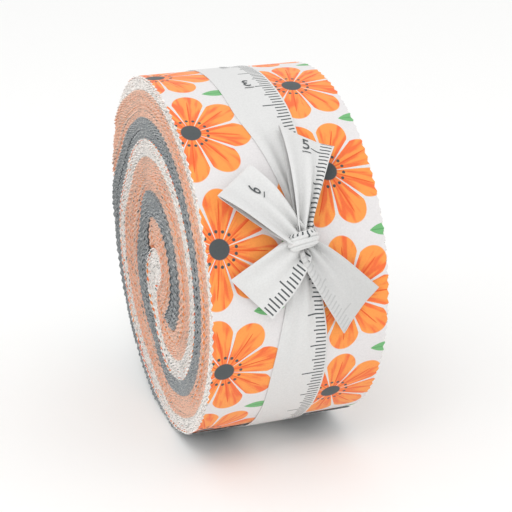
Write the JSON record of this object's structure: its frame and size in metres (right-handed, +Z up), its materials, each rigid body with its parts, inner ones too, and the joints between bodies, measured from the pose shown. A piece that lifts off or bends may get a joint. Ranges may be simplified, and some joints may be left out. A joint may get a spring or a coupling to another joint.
{
  "type": "jelly roll fabric strips",
  "caption": "Roll of long pinked-edge quilting fabric strips, wound in coloured bands, standing on its rim and tied round with a printed ribbon and a flat bow.",
  "frame": {"origin": "middle of the underside of the whole part's box, on the surface it stands on", "axes": "+Z up; X along the roll's winding axis; -Y towards the bow"},
  "size_m": [0.0636, 0.1477, 0.1327],
  "materials": {
    "strips": "matt woven cotton, pinked edges",
    "ribbon": "smooth woven cotton tape, printed"
  },
  "bodies": {
    "root": {"strip_roll": "strips", "ribbon_band": "ribbon", "ribbon_knot": "ribbon", "ribbon_loop_left": "ribbon", "ribbon_loop_right": "ribbon", "ribbon_tail_left": "ribbon", "ribbon_tail_right": "ribbon"}
  },
  "joints": []
}
